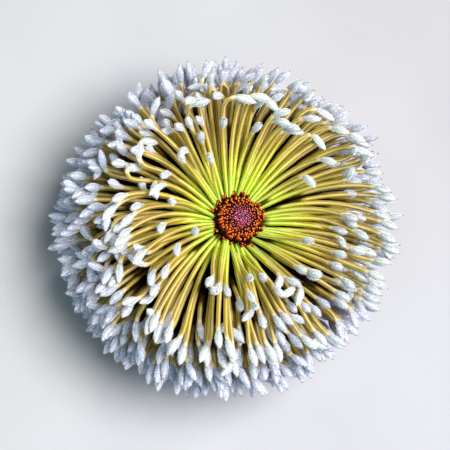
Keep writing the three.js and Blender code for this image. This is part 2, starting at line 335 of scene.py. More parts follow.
def finish_tree(tree, geometry, material):
    """Ends a tree in real faces with their material."""
    real = add(tree, "GeometryNodeRealizeInstances", links=[geometry])
    painted = add(tree, "GeometryNodeSetMaterial", links={"Geometry": real, "Material": material})
    add(tree, "NodeGroupOutput", links=[painted])


def set_scales_tree():
    """Sets a copy of one scale on each seat, turned along the seat's direction."""
    tree, given = new_tree("set_scales", {"Scale Shape": "Object", "Material": "Material"})
    points_to, faces_out, size = [
        add(tree, "GeometryNodeInputNamedAttribute", {"data_type": "FLOAT_VECTOR"}, [name])
        for name in ("points_to", "faces_out", "size")]
    shape = add(tree, "GeometryNodeObjectInfo", {"transform_space": "ORIGINAL"}, {
        "Object": given["Scale Shape"]})
    turned = add(tree, "FunctionNodeAxesToRotation", {"primary_axis": "Z", "secondary_axis": "X"}, {
        "Primary Axis": points_to, "Secondary Axis": faces_out})
    placed = add(tree, "GeometryNodeInstanceOnPoints", links={
        "Points": given["Geometry"], "Instance": shape.outputs["Geometry"],
        "Rotation": turned, "Scale": size})
    finish_tree(tree, placed, given["Material"])
    return tree


SET_SCALES = set_scales_tree()


def grow(name, guide, tree, values):
    """Runs a tree on a guide mesh and keeps what grows as a plain mesh."""
    grown = bpy.data.objects.new(name, guide)
    bpy.context.scene.collection.objects.link(grown)
    modifier = grown.modifiers.new(name, "NODES")
    modifier.node_group = tree
    for socket in tree.interface.items_tree:
        if socket.in_out == "INPUT" and socket.name in values:
            modifier[socket.identifier] = values[socket.name]
    evaluated = grown.evaluated_get(bpy.context.evaluated_depsgraph_get())
    mesh = bpy.data.meshes.new_from_object(evaluated)
    grown.modifiers.remove(modifier)
    grown.data = mesh
    mesh.name = name
    return grown


def guide_mesh(name, points, edges, values):
    """A mesh of loose points or lines with named values at its points, for a tree to grow on."""
    mesh = bpy.data.meshes.new(name)
    mesh.from_pydata([tuple(p) for p in points], edges, [])
    for value_name, numbers in values.items():
        numbers = np.asarray(numbers, float)
        is_vector = numbers.ndim == 2
        layer = mesh.attributes.new(value_name, "FLOAT_VECTOR" if is_vector else "FLOAT", "POINT")
        layer.data.foreach_set("vector" if is_vector else "value", numbers.ravel())
    return mesh


DRAW_STEPS = (12.9898, 78.233, 37.719)  # with these the sines come in no order that the eye sees
DRAW_SCALE = 43758.5453


def draw(i, trait):
    """A repeatable draw from 0 to 1 of a trait of floret or bract i."""
    per_item, per_trait, start = DRAW_STEPS
    x = math.sin(per_item * i + per_trait * trait + start) * DRAW_SCALE
    return x - math.floor(x)


def spread(i, trait):
    """A repeatable draw from -1 to 1."""
    return 2 * draw(i, trait) - 1


def lean(azimuth, degrees):
    """A direction that leans out from straight up by some degrees, at an azimuth."""
    angle = math.radians(degrees)
    return (math.sin(angle) * math.cos(azimuth), math.sin(angle) * math.sin(azimuth),
            math.cos(angle))


def set_scales(name, seats):
    """Grows scales on seats, each a place, a direction, an outward direction and three sizes."""
    places, points_to, faces_out, sizes = zip(*seats)
    guide = guide_mesh(name + "_seats", places, [], {
        "points_to": points_to, "faces_out": faces_out, "size": sizes})
    return grow(name, guide, SET_SCALES, {"Scale Shape": BRACT, "Material": VELVET})


def axis_bract(i, beside):
    """A seat for one of the two bracts beside the florets' seat i: beside is -1 or 1."""
    share = (i + 0.5) / SPIKE_SEATS
    radius = mix(*AXIS_RADII, share) - AXIS_BRACT["sunk"]
    azimuth = i * GOLDEN_ANGLE + beside * AXIS_BRACT["beside"] / radius
    height = mix(*SPIKE_ROOTS, share)
    height += AXIS_BRACT["uneven"] * spread(2 * i + (beside > 0), AXIS_BRACT_TRAITS["height"])
    place = (radius * math.cos(azimuth), radius * math.sin(azimuth), height)
    leaning = mix(*AXIS_BRACT["lean"], share)
    leaning += AXIS_BRACT["wobble"] * spread(i, AXIS_BRACT_TRAITS["lean"])
    length = mix(*AXIS_BRACT["length"], draw(i, AXIS_BRACT_TRAITS["length"]))
    width = AXIS_BRACT["width"] * length
    return place, lean(azimuth, leaning), lean(azimuth, leaning + 90), (width, width, length)


def level_ring(radius, height, sides):
    """The vertices of a level ring round the head's axis."""
    angles = [2 * math.pi * s / sides for s in range(sides)]
    return [(radius * math.cos(angle), radius * math.sin(angle), height) for angle in angles]


def make_axis():
    vertices = []
    for height, fullness in AXIS_OUTLINE:
        share = (height - AXIS_FOOT) / (AXIS_TOP - AXIS_FOOT)
        vertices += level_ring(mix(*AXIS_RADII, share) * fullness, height, AXIS_SIDES)
    faces = closed_tube(len(AXIS_OUTLINE), AXIS_SIDES)
    settle(plain_object("spike_axis", vertices, faces, [VELVET]), "floret_head")
    seats = [axis_bract(i, beside) for i in range(SPIKE_SEATS) for beside in (-1, 1)]
    settle(set_scales("axis_bracts", seats), "floret_head")


make_axis()


# ---------------------------------------------------------------- florets
# Closed flowers, grown close together in a spiral up the axis. Each is a perianth of four narrow
# strips fused into a ridged tube, which swells at its end into the limb that holds the anthers.

FLORET_LENGTH = 42.0 * MM
LOWEST_LENGTH = 0.8  # of the florets in the lowest row, as a share of that
ROOT_SUNK = 1.5 * MM  # into the axis
ROOT_LENGTH = 9 * MM  # in which a tube reaches its full thickness
ROOT_THICKNESS = 0.9  # where it starts, as a share of that
TUBE_RADIUS = 0.65 * MM
LIMB_LENGTH = 5.9 * MM
LIMB_RADIUS = 1.14 * MM
LIMB_TIP_RADIUS = 0.13 * MM
LIMB_FULLEST = 0.9  # under 1, a limb is fullest nearer its tip than its neck
LOBE_DEPTH = 0.14  # of the grooves between the four ridges, as a share of the radius
FLORET_SIDES = 8  # a ridge and a groove for each of the four strips
TUBE_RINGS = 12
RING_CROWDING = 1.5  # over 1, a tube's rings stand closer together towards its limb
LIMB_RINGS = 8
LINE_STEPS = 40

GROUPS = {  # how the florets of one seat stand, as steps sideways and up from its middle
    3: ((-1, -0.6), (1, -0.6), (0, 1)),
    4: ((-1, -1), (1, -1), (-1, 1), (1, 1)),
}
GROUP_SIZES = ((0.6, 4), (1.0, 3))  # up to which share of the spike, florets in a seat
GROUP_STEP = 0.62 * MM
GROUP_PARTING = (3.0, 3.0)  # degrees that a floret turns away from its seat's middle: aside, up
FLORET_ROWS = {"lower": 0.28, "middle": 0.58, "upper": 1.0}  # pieces, and how high each reaches

# Values in threes are for the lowest row, half-way up and the top row. Lifts, turns and swings are
# in degrees, azimuths and phases in radians.
ROOT_LIFT = (-17, 12, 36)  # above level
TIP_LIFT = (-15, 11, 15)
LOWEST_TIP_LIFT = -19.5
LIFT_BENDING = 1.3  # over 1, a floret bends more and more towards its tip
HANGING = (0.15, 0.5, 0.82)  # how far florets hang to one side, as a share of their direction
HANG_TOWARDS = np.array([0.22, -0.92, 0.33])
HANG_BENDING = 1.6  # as for its lift
LIGHT_SIDE = 0.0  # azimuth of the side of the head that stands up towards the light
TOWARDS_LIGHT = (0, 2, 20)  # how much more florets rise on that side
ROOT_TOWARDS_LIGHT = 0.4  # the share of it that their roots take
LIMB_RISE = {"middling": 30, "least": 0.8, "spread": 0.4}  # how much limbs turn up besides, there
LIMB_BENDS = (0.74, 0.91)  # shares of the floret between which its limb turns aside
BUNCHES = ((4, 10, -2.93), (11, 7.5, 2.1))  # how many round the head, how far, phase
BUNCHING = (0.2, 0.45, 1.0)  # how much the rows follow them
OPEN_SIDE = math.radians(-45)  # where the bunches part the most
OPENING = 0.7  # how much more they part there, and less on the other side
SPREAD = {"root": 4, "tip": 8, "length": 0.04, "swing": 5}  # among the seats
OWN_SPREAD = {"tip": 6, "length": 0.03, "swing": 6.5, "turn": 66}  # among the florets of a seat
YOUNG = {
    "from": 0.45,  # share of the spike above which florets may be young
    "grown": 0.62,  # share of the seats there whose florets are fully grown
    "root": 16,  # how much steeper young ones stand, at the root and at the tip
    "tip": 56,
    "steepest": 84,
    "shorter": 0.34,
    "swing": 8,
    "stiffer": 0.7,
    "later": 0.4,  # how much younger they are on the young side, and older on the other
}
YOUNG_SIDE = math.radians(-100)
OWN_YOUTH = {  # florets that are younger than their seat's others
    "share": 0.34,
    "least": 0.25,
    "most": 0.95,
    "oldest": 0.4,  # what the oldest floret of a young seat keeps of its youth
}
TURNED = {"share": 0.08, "top_share": 0.3, "least": 40, "most": 105}  # limbs turned to a side
NODDING = {"share": 0.15, "top_share": 0.3, "most": 55}  # limbs bent down
# Each trait has a number of its own, so that its draws don't follow those of another.
TRAITS = {"root_lift": 2, "youth": 3, "length": 4, "swing": 6, "limb_bend": 7, "turned_by": 8,
          "turned_side": 9, "tip_lift": 10, "nod": 12, "own_tip": 13, "own_length": 14,
          "own_swing": 16, "own_turn": 24, "own_youth": 19, "own_age": 20, "tint": 21, "rise": 22}


def smooth(share):
    share = min(1, max(0, share))
    return share * share * (3 - 2 * share)


def along_spike(rows, share):
    """A value between those of the lowest, middle and top rows."""
    return float(np.interp(share, (0, 0.5, 1), rows))


def topness(share):
    """How much a share up the spike belongs to the young rows round the growing tip."""
    return smooth((share - YOUNG["from"]) / (1 - YOUNG["from"]))


def youth_of(i, own, share):
    """How young a floret is, from 0 to 1: as its seat i is, or by itself."""
    lateness = 1 + YOUNG["later"] * math.cos(i * GOLDEN_ANGLE - YOUNG_SIDE)
    youth = smooth((draw(i, TRAITS["youth"]) - YOUNG["grown"]) / (1 - YOUNG["grown"]))
    youth *= topness(share) * lateness
    own_age = draw(own, TRAITS["own_age"])
    youth *= mix(OWN_YOUTH["oldest"], 1, own_age)
    if draw(own, TRAITS["own_youth"]) < OWN_YOUTH["share"] * lateness:
        youth = max(youth, mix(OWN_YOUTH["least"], OWN_YOUTH["most"], own_age) * topness(share))
    return youth


def limb_bend_of(i, share):
    """How far the limbs of seat i turn to a side and how far they nod, in degrees."""
    bend_draw = draw(i, TRAITS["limb_bend"])
    turned = bend_draw < TURNED["share"] + TURNED["top_share"] * topness(share)
    nods = bend_draw < NODDING["share"] + NODDING["top_share"] * topness(share)
    turned_by = mix(TURNED["least"], TURNED["most"], draw(i, TRAITS["turned_by"]))
    turned_side = math.copysign(1, spread(i, TRAITS["turned_side"]))
    turn = turned_by * turned_side if turned else 0
    nod = NODDING["most"] * draw(i, TRAITS["nod"]) if nods else 0
    return turn, nod


def habit_of(i, member, aside, above):
    """How one floret of seat i grows: the seat's habit, with the floret's own small differences."""
    share = (i + 0.5) / SPIKE_SEATS
    azimuth = i * GOLDEN_ANGLE
    own = max(GROUPS) * i + member
    youth = youth_of(i, own, share)
    turn, nod = limb_bend_of(i, share)
    bunching = sum(most * math.sin(count * azimuth + phase) for count, most, phase in BUNCHES)
    bunching *= along_spike(BUNCHING, share) * (1 + OPENING * math.cos(azimuth - OPEN_SIDE))
    root_lift = along_spike(ROOT_LIFT, share) + SPREAD["root"] * spread(i, TRAITS["root_lift"])
    tip_lift = along_spike(TIP_LIFT, share) + SPREAD["tip"] * spread(i, TRAITS["tip_lift"])
    tip_lift += YOUNG["tip"] * youth + OWN_SPREAD["tip"] * spread(own, TRAITS["own_tip"])
    tip_lift += GROUP_PARTING[1] * above
    length = FLORET_LENGTH * along_spike((LOWEST_LENGTH, 1, 1), share)
    length *= 1 + SPREAD["length"] * spread(i, TRAITS["length"])
    length *= 1 + OWN_SPREAD["length"] * spread(own, TRAITS["own_length"])
    radius = mix(*AXIS_RADII, share)
    facing = 0.5 + 0.5 * math.cos(azimuth - LIGHT_SIDE)
    lightward = along_spike(TOWARDS_LIGHT, share) * facing
    rise_share = LIMB_RISE["least"] + LIMB_RISE["spread"] * draw(own, TRAITS["rise"])
    rise = LIMB_RISE["middling"] * facing * rise_share * (1 - youth)
    swing = (SPREAD["swing"] + YOUNG["swing"] * topness(share)) * spread(i, TRAITS["swing"])
    return {
        "share": share,
        "height": mix(*SPIKE_ROOTS, share) + above * GROUP_STEP,
        "radius": radius,
        "azimuth": azimuth + aside * GROUP_STEP / radius,
        "bunching": bunching,
        "hanging": along_spike(HANGING, share) * (1 - YOUNG["stiffer"] * youth),
        "parting": aside * GROUP_PARTING[0],
        "root_lift": root_lift + ROOT_TOWARDS_LIGHT * lightward + YOUNG["root"] * youth,
        "tip_lift": min(YOUNG["steepest"], max(LOWEST_TIP_LIFT, tip_lift + lightward)),
        "length": length * (1 - YOUNG["shorter"] * youth),
        "swing": swing + OWN_SPREAD["swing"] * spread(own, TRAITS["own_swing"]),
        "turn": turn + OWN_SPREAD["turn"] * spread(own, TRAITS["own_turn"]) ** 3,
        "nod": nod - rise,
        # for the painted shade: the row, raised where the bunches part the least, so that more of the
        # tube is painted as lit there
        "lit": share + CLOSED_LIT * max(0.0, -math.cos(azimuth - OPEN_SIDE)),
        "tint": draw(own, TRAITS["tint"]),
    }


def middle_line(habit):
    """Points at even distances along the floret's middle, from its root in the axis to its tip."""
    inside = habit["radius"] - ROOT_SUNK
    whole = habit["length"] + ROOT_SUNK
    spot = np.array([inside * math.cos(habit["azimuth"]), inside * math.sin(habit["azimuth"]),
                     habit["height"]])
    line = [spot]
    for k in range(LINE_STEPS):
        share = (k + 0.5) / LINE_STEPS
        limb_bend = smooth((share - LIMB_BENDS[0]) / (LIMB_BENDS[1] - LIMB_BENDS[0]))
        bent = mix(habit["root_lift"], habit["tip_lift"], share ** LIFT_BENDING)
        lift = math.radians(bent - habit["nod"] * limb_bend)
        heading = habit["azimuth"] + math.radians(
            (habit["parting"] + habit["bunching"]) * share + habit["swing"] * share ** 2
            + habit["turn"] * limb_bend)
        hang = habit["hanging"] * share ** HANG_BENDING
        along = hang * HANG_TOWARDS + np.array([
            math.cos(lift) * math.cos(heading), math.cos(lift) * math.sin(heading), math.sin(lift)])
        spot = spot + along / np.linalg.norm(along) * whole / LINE_STEPS
        line.append(spot)
    return np.array(line)


def ring_distances(whole):
    """Where a floret has its rings of corners: closer together towards the limb and in it."""
    neck = whole - LIMB_LENGTH
    tube = [neck * (1 - (1 - k / TUBE_RINGS) ** RING_CROWDING) for k in range(TUBE_RINGS)]
    limb = [neck + LIMB_LENGTH * (1 - math.cos(math.pi * k / LIMB_RINGS)) / 2
            for k in range(LIMB_RINGS + 1)]
    return np.array(tube + limb)


def florets_of(i):
    """The habits of the florets that grow from seat i."""
    share = (i + 0.5) / SPIKE_SEATS
    size = next(size for highest, size in GROUP_SIZES if share <= highest)
    return [habit_of(i, member, aside, above) for member, (aside, above) in enumerate(GROUPS[size])]


def floret_guides(name, seats):
    """The middle lines of the florets of some seats, with what each point needs to know."""
    points, edges = [], []
    values = {"from_root": [], "from_tip": [], "tint": [], "row": [], "lit": []}
    for i in seats:
        for habit in florets_of(i):
            whole = habit["length"] + ROOT_SUNK
            line = middle_line(habit)
            even = np.linspace(0, whole, len(line))
            rings = ring_distances(whole)
            first = len(points)
            points += list(np.stack([np.interp(rings, even, line[:, a]) for a in range(3)], 1))
            edges += [(first + k, first + k + 1) for k in range(len(rings) - 1)]
            values["from_root"] += list(rings)
            values["from_tip"] += list(whole - rings)
            values["tint"] += [habit["tint"]] * len(rings)
            values["row"] += [habit["share"]] * len(rings)
            values["lit"] += [habit["lit"]] * len(rings)
    return guide_mesh(name, points, edges, values)


FIBRES = {"across": 6.0, "length": 5.0 * MM, "difference": 97.0, "detail": 4.0}
LINES = {"across": 15.0, "length": 7.0 * MM, "difference": 61.0, "detail": 2.0}
GREEN_LENGTH = 36 * MM  # from the root, in which the skin runs through its colours
FIBRE_SHIFT = 0.35  # how much the fibres shift those colours
BLUSH_SHIFT = 0.5  # how much they break up the pink
CREAM_NECK = 1.8 * MM
# The tubes' painted shade: light is taken to reach this far in from above and from below, and each
# tube is painted darker beyond that.
LIT_FROM_ABOVE = (0.70, 42 * MM)  # from which row up light enters, and how deep in the top row
LIT_FROM_BELOW = (0.16, 48 * MM)  # the same from below
CLOSED_LIT = 0.12  # how much further down the spike light enters where the bunches part the least
LIT_NECK = 5 * MM  # what is lit of every tube, below its limb
SHADE_LENGTH = 7 * MM  # in which a lit tube turns dark
FELT_TUFT = 0.3 * MM
SEAM_RUFFLE = 0.5  # how much the tufts break up the seams of a limb


def tube_streaks(tree, values, across, length, difference, detail):
    """Fine streaks along a tube: how many cross it from a groove to a ridge, how long they are, and
    how different those of each floret are."""
    place = add(tree, "ShaderNodeCombineXYZ", links={
        "X": add(tree, "ShaderNodeMath", {"operation": "MULTIPLY"}, [values["ridge"], across]),
        "Y": add(tree, "ShaderNodeMath", {"operation": "DIVIDE"}, [values["from_root"], length]),
        "Z": add(tree, "ShaderNodeMath", {"operation": "MULTIPLY"}, [values["tint"], difference])})
    return add(tree, "ShaderNodeTexNoise", links={"Vector": place, "Scale": 1.0, "Detail": detail})


def depth_in_shade(tree, values):
    """How deep a spot of a tube lies in the dark inside of the head, in shade lengths: the measure
    for the tubes' painted shade.
    """
    above = add(tree, "ShaderNodeMapRange", {"clamp": False}, {
        "Value": values["lit"], "From Min": LIT_FROM_ABOVE[0], "From Max": 1.0,
        "To Max": LIT_FROM_ABOVE[1]})
    below = add(tree, "ShaderNodeMapRange", {"clamp": False}, {
        "Value": values["row"], "From Min": LIT_FROM_BELOW[0], "From Max": 0.0,
        "To Max": LIT_FROM_BELOW[1]})
    entering = add(tree, "ShaderNodeMath", {"operation": "MAXIMUM"}, [above, below])
    lit_part = add(tree, "ShaderNodeMath", {"operation": "MAXIMUM"}, [
        entering, LIMB_LENGTH + LIT_NECK])
    beyond = add(tree, "ShaderNodeMath", {"operation": "SUBTRACT"}, [values["from_tip"], lit_part])
    return add(tree, "ShaderNodeMath", {"operation": "DIVIDE"}, [beyond, SHADE_LENGTH])


def perianth_skin():
    """Perianth tube: living plant skin with a thin wax bloom. Its furrows are lime green at the
    root and golden further out. Its ridges are paler and waxy, on some florets pinkish, and the
    seams between its strips are darker. It is cream where the wool starts. Painted shade darkens
    the tubes to dark brown deep inside the head, below the part that light reaches."""
    material, tree, surface = new_material("perianth_skin")
    values = {name: add(tree, "ShaderNodeAttribute", {"attribute_name": name}).outputs["Fac"]
              for name in ("from_root", "from_tip", "ridge", "tint", "row", "lit")}
    fibres = tube_streaks(tree, values, **FIBRES)
    shift = add(tree, "ShaderNodeMapRange", {"clamp": False}, {
        "Value": fibres, "To Min": -FIBRE_SHIFT / 2, "To Max": FIBRE_SHIFT / 2})
    outwards = add(tree, "ShaderNodeMath", {"operation": "MULTIPLY_ADD"}, [
        values["from_root"], 1 / GREEN_LENGTH, shift])
    furrow = add(tree, "ShaderNodeValToRGB", {"stops": [
        (0.14, "#c4ea0c"), (0.36, "#d6de12"), (0.60, "#d2be22"), (0.92, "#beaa2c")]}, [outwards])
    crest = add(tree, "ShaderNodeValToRGB", {"stops": [
        (0.14, "#bed084"), (0.36, "#c8c68c"), (0.60, "#c4b290"), (0.92, "#beae94")]}, [outwards])
    pink_crest = add(tree, "ShaderNodeValToRGB", {"stops": [
        (0.14, "#ccd698"), (0.36, "#d0c4a0"), (0.60, "#ceb4a6"), (0.92, "#c8aea8")]}, [outwards])
    blush = add(tree, "ShaderNodeMath", {"operation": "MULTIPLY_ADD"}, [
        fibres, BLUSH_SHIFT, values["tint"]])
    blushed = add(tree, "ShaderNodeMapRange", links={
        "Value": blush, "From Min": 0.5, "From Max": 1.05})
    waxy = add(tree, "ShaderNodeMix", {"data_type": "RGBA"}, [blushed, crest, pink_crest])
    ridge_light = add(tree, "ShaderNodeMapRange", {"interpolation_type": "SMOOTHSTEP"}, {
        "Value": values["ridge"], "From Min": 0.3, "From Max": 1.0})
    striped = add(tree, "ShaderNodeMix", {"data_type": "RGBA"}, [ridge_light, furrow, waxy])
    seams = add(tree, "ShaderNodeValToRGB", {"stops": [
        (0.0, "#746810"), (0.27, "#ffffff")]}, [values["ridge"]])
    seamed = add(tree, "ShaderNodeMix", {"data_type": "RGBA", "blend_type": "MULTIPLY"}, [
        1.0, striped, seams])
    lines = add(tree, "ShaderNodeValToRGB", {"stops": [
        (0.34, "#bcae48"), (0.46, "#ffffff")]}, [tube_streaks(tree, values, **LINES)])
    lined = add(tree, "ShaderNodeMix", {"data_type": "RGBA", "blend_type": "MULTIPLY"}, [
        1.0, seamed, lines])
    neck = add(tree, "ShaderNodeMapRange", {"interpolation_type": "SMOOTHSTEP"}, {
        "Value": values["from_tip"], "From Min": LIMB_LENGTH + CREAM_NECK, "From Max": LIMB_LENGTH})
    creamy = add(tree, "ShaderNodeMix", {"data_type": "RGBA"}, [neck, lined, linear("#dccfa6")])
    # Painted shade: the deeper a spot of a tube lies below the part that light reaches, the closer
    # its colour is pulled to dark brown.
    painted_shade = add(tree, "ShaderNodeValToRGB", {"stops": [
        (0.0, "#ffffff"), (0.3, "#6a5418"), (0.85, "#120a03")]}, [depth_in_shade(tree, values)])
    colour = add(tree, "ShaderNodeMix", {"data_type": "RGBA", "blend_type": "MULTIPLY"}, [
        1.0, creamy, painted_shade])
    relief = add(tree, "ShaderNodeBump", links={
        "Height": fibres, "Distance": 0.08 * MM, "Strength": 0.6})
    fill(tree, surface, {"Base Color": colour, "Normal": relief, "Roughness": 0.55,
                         "Specular IOR Level": 0.1})
    return material


def limb_felt():
    """Limb of the perianth: a skin hidden under dense white wool that lies towards the tip. The
    seams between its four strips show grey, its tip is brown, and in the upper rows, where the wool
    is thinner, the limb is faintly green."""
    material, tree, surface = new_material("limb_felt")
    from_tip, ridge, row = [
        add(tree, "ShaderNodeAttribute", {"attribute_name": name}).outputs["Fac"]
        for name in ("from_tip", "ridge", "row")]
    place = add(tree, "ShaderNodeTexCoord").outputs["Object"]
    tufts = add(tree, "ShaderNodeTexNoise", links={
        "Vector": place, "Scale": 1 / FELT_TUFT, "Detail": 3.0})
    ruffled = add(tree, "ShaderNodeMath", {"operation": "MULTIPLY_ADD"}, [
        tufts, SEAM_RUFFLE, ridge])
    seam = add(tree, "ShaderNodeMapRange", {"interpolation_type": "SMOOTHSTEP"}, {
        "Value": ruffled, "From Min": 0.25, "From Max": 0.75})
    dense = add(tree, "ShaderNodeValToRGB", {"stops": [
        (0.36, "#8894b0"), (0.5, "#b8bedc"), (0.64, "#f2f1fe")]}, [tufts])
    sparse = add(tree, "ShaderNodeValToRGB", {"stops": [
        (0.36, "#aab6a0"), (0.5, "#ccd4c2"), (0.64, "#f0f0f0")]}, [tufts])
    thinned = add(tree, "ShaderNodeMapRange", links={
        "Value": row, "From Min": 0.7, "From Max": 1.0, "To Max": 0.8})
    crimped = add(tree, "ShaderNodeMix", {"data_type": "RGBA"}, [thinned, dense, sparse])
    wool = add(tree, "ShaderNodeMix", {"data_type": "RGBA"}, [seam, linear("#a8b4b4"), crimped])
    along = add(tree, "ShaderNodeMath", {"operation": "DIVIDE"}, [from_tip, LIMB_LENGTH])
    bare = add(tree, "ShaderNodeValToRGB", {"stops": [
        (0.01, "#b98a58"), (0.05, "#e4d6b8"), (0.10, "#f6f7f6"), (0.80, "#f6f7f6"),
        (1.00, "#e6e2cf")]}, [along])
    colour = add(tree, "ShaderNodeMix", {"data_type": "RGBA", "blend_type": "MULTIPLY"}, [
        1.0, wool, bare])
    relief = add(tree, "ShaderNodeBump", links={
        "Height": tufts, "Distance": 0.15 * MM, "Strength": 0.8})
    fill(tree, surface, {"Base Color": colour, "Normal": relief, "Roughness": 0.85,
                         "Sheen Weight": 1.0, "Sheen Roughness": 0.3})
    return material


def floret_thickness(tree, given, from_root, from_tip):
    """The radius of a floret along it: a slender tube, and then a spindle that ends in a point."""
    # along the limb: 0 at the tip and 1 at the neck
    along = add(tree, "ShaderNodeMath", {"operation": "DIVIDE", "use_clamp": True}, [
        from_tip, given["Limb Length"]])
    fuller = add(tree, "ShaderNodeMath", {"operation": "POWER"}, [along, given["Limb Fullest"]])
    half_turn = add(tree, "ShaderNodeMath", {"operation": "MULTIPLY"}, [fuller, math.pi])
    arch = add(tree, "ShaderNodeMath", {"operation": "SINE"}, [half_turn])
    belly = add(tree, "ShaderNodeMath", {"operation": "MAXIMUM"}, [arch, 0.0])
    # the tube runs out inside the limb, so half of it is left under the limb's belly
    half_tube = add(tree, "ShaderNodeMath", {"operation": "MULTIPLY"}, [given["Tube Radius"], 0.5])
    swelling = add(tree, "ShaderNodeMath", {"operation": "SUBTRACT"}, [
        given["Limb Radius"], half_tube])
    root = add(tree, "ShaderNodeMapRange", links={
        "Value": from_root, "From Min": 0.0, "From Max": given["Root Length"],
        "To Min": given["Root Thickness"], "To Max": 1.0})
    fading = add(tree, "ShaderNodeMath", {"operation": "MULTIPLY"}, [given["Tube Radius"], along])
    tube = add(tree, "ShaderNodeMath", {"operation": "MULTIPLY"}, [fading, root])
    spindle = add(tree, "ShaderNodeMath", {"operation": "MULTIPLY_ADD"}, [swelling, belly, tube])
    return add(tree, "ShaderNodeMath", {"operation": "MAXIMUM"}, [spindle, given["Tip Radius"]])


def floret_section(tree, given):
    """A closed line round a floret of unit radius, with a ridge at every other corner."""
    circle = add(tree, "GeometryNodeCurvePrimitiveCircle", links={
        "Resolution": given["Sides"], "Radius": 1.0})
    corner = add(tree, "GeometryNodeInputIndex")
    groove = add(tree, "ShaderNodeMath", {"operation": "MODULO"}, [corner, 2.0])
    ridge = add(tree, "ShaderNodeMath", {"operation": "SUBTRACT"}, [1.0, groove])
    marked = add(tree, "GeometryNodeStoreNamedAttribute", {"data_type": "FLOAT", "domain": "POINT"}, {
        "Geometry": circle, "Name": "ridge", "Value": ridge})
    depth = add(tree, "ShaderNodeMath", {"operation": "MULTIPLY"}, [groove, given["Lobe Depth"]])
    pinch = add(tree, "ShaderNodeMath", {"operation": "SUBTRACT"}, [1.0, depth])
    pinched = add(tree, "ShaderNodeVectorMath", {"operation": "SCALE"}, [
        add(tree, "GeometryNodeInputPosition"), pinch])
    return add(tree, "GeometryNodeSetPosition", links={"Geometry": marked, "Position": pinched})


def sweep_florets_tree():
    """Sweeps a four-lobed section along each middle line."""
    tree, given = new_tree("sweep_florets", {
        "Tube Radius": "Float", "Root Length": "Float", "Root Thickness": "Float",
        "Limb Radius": "Float", "Limb Length": "Float", "Limb Fullest": "Float",
        "Tip Radius": "Float", "Lobe Depth": "Float", "Sides": "Int", "Tube": "Material",
        "Limb": "Material"})
    from_root, from_tip = [add(tree, "GeometryNodeInputNamedAttribute", links=[name])
                           for name in ("from_root", "from_tip")]
    lines = add(tree, "GeometryNodeMeshToCurve", links={"Mesh": given["Geometry"]})
    headed = add(tree, "GeometryNodeStoreNamedAttribute", {
        "data_type": "FLOAT_VECTOR", "domain": "POINT"}, {
        "Geometry": lines, "Name": "forward", "Value": add(tree, "GeometryNodeInputTangent")})
    swept = add(tree, "GeometryNodeCurveToMesh", links={
        "Curve": headed, "Profile Curve": floret_section(tree, given),
        "Scale": floret_thickness(tree, given, from_root, from_tip), "Fill Caps": True})
    rounded = add(tree, "GeometryNodeSetShadeSmooth", links={"Geometry": swept})
    skinned = add(tree, "GeometryNodeSetMaterial", links={
        "Geometry": rounded, "Material": given["Tube"]})
    real = add(tree, "GeometryNodeRealizeInstances", links=[skinned])
    in_limb = add(tree, "FunctionNodeCompare", {"data_type": "FLOAT", "operation": "LESS_THAN"}, [
        from_tip, given["Limb Length"]])
    felted = add(tree, "GeometryNodeSetMaterial", links={
        "Geometry": real, "Selection": in_limb, "Material": given["Limb"]})
    add(tree, "NodeGroupOutput", links=[felted])
    return tree


PERIANTH_SKIN = perianth_skin()
LIMB_FELT = limb_felt()
SWEEP_FLORETS = sweep_florets_tree()


def make_florets(rows, seats):
    """The florets of some rows, as one piece."""
    florets = grow("florets_" + rows, floret_guides("lines_" + rows, seats), SWEEP_FLORETS, {
        "Tube Radius": TUBE_RADIUS, "Root Length": ROOT_LENGTH, "Root Thickness": ROOT_THICKNESS,
        "Limb Radius": LIMB_RADIUS, "Limb Length": LIMB_LENGTH, "Limb Fullest": LIMB_FULLEST,
        "Tip Radius": LIMB_TIP_RADIUS, "Lobe Depth": LOBE_DEPTH, "Sides": FLORET_SIDES,
        "Tube": PERIANTH_SKIN, "Limb": LIMB_FELT})
    settle(florets, "floret_head")
    return florets


# ---------------------------------------------------------------- wool
# The silky hairs that cover the limbs. They lie towards the tip, are shortest there, and thin out
# down the neck. They are drawn twice as thick as real ones, so that they show.

HAIR_LENGTH = 0.8 * MM
HAIR_RADIUS = 0.038 * MM
HAIR_SIDES = 3
HAIR_DENSITY = 2.9e6  # hairs in a square metre of limb
HAIR_SPREAD = (0.55, 1.1)  # the shortest and the longest hair, as shares of the length
HAIR_RISE = 0.45  # how much hairs stand out from the limb: flat at 0 and half upright at 1
HAIR_RUFFLE = 0.35  # how much they turn to any side
HAIR_SEEDS = {"place": 11, "direction": 5, "length": 6}
WOOL_REACH = (0.86, 1.35)  # limb lengths from the tip, where the wool thins out and where it ends
SHORT_HAIRS = (0.2 * MM, 2.2 * MM)  # from the tip, between which they grow to their length
SHORTEST_HAIRS = 0.35
STRAND_WIDTH = 0.9 * MM  # of the strands that the hairs cling together in


def wool_fibre():
    """Plant wool: clear, hollow hairs that look silver white and scatter light softly."""
    material, tree, surface = new_material("wool_fibre")
    place = add(tree, "ShaderNodeTexCoord").outputs["Object"]
    strands = add(tree, "ShaderNodeTexNoise", links={
        "Vector": place, "Scale": 1 / STRAND_WIDTH, "Detail": 2.0})
    colour = add(tree, "ShaderNodeValToRGB", {"stops": [
        (0.3, "#c8cae2"), (0.5, "#dfdff6"), (0.7, "#fcf8ff")]}, [strands])
    fill(tree, surface, {"Base Color": colour, "Roughness": 0.6, "Sheen Weight": 0.2})
    return material


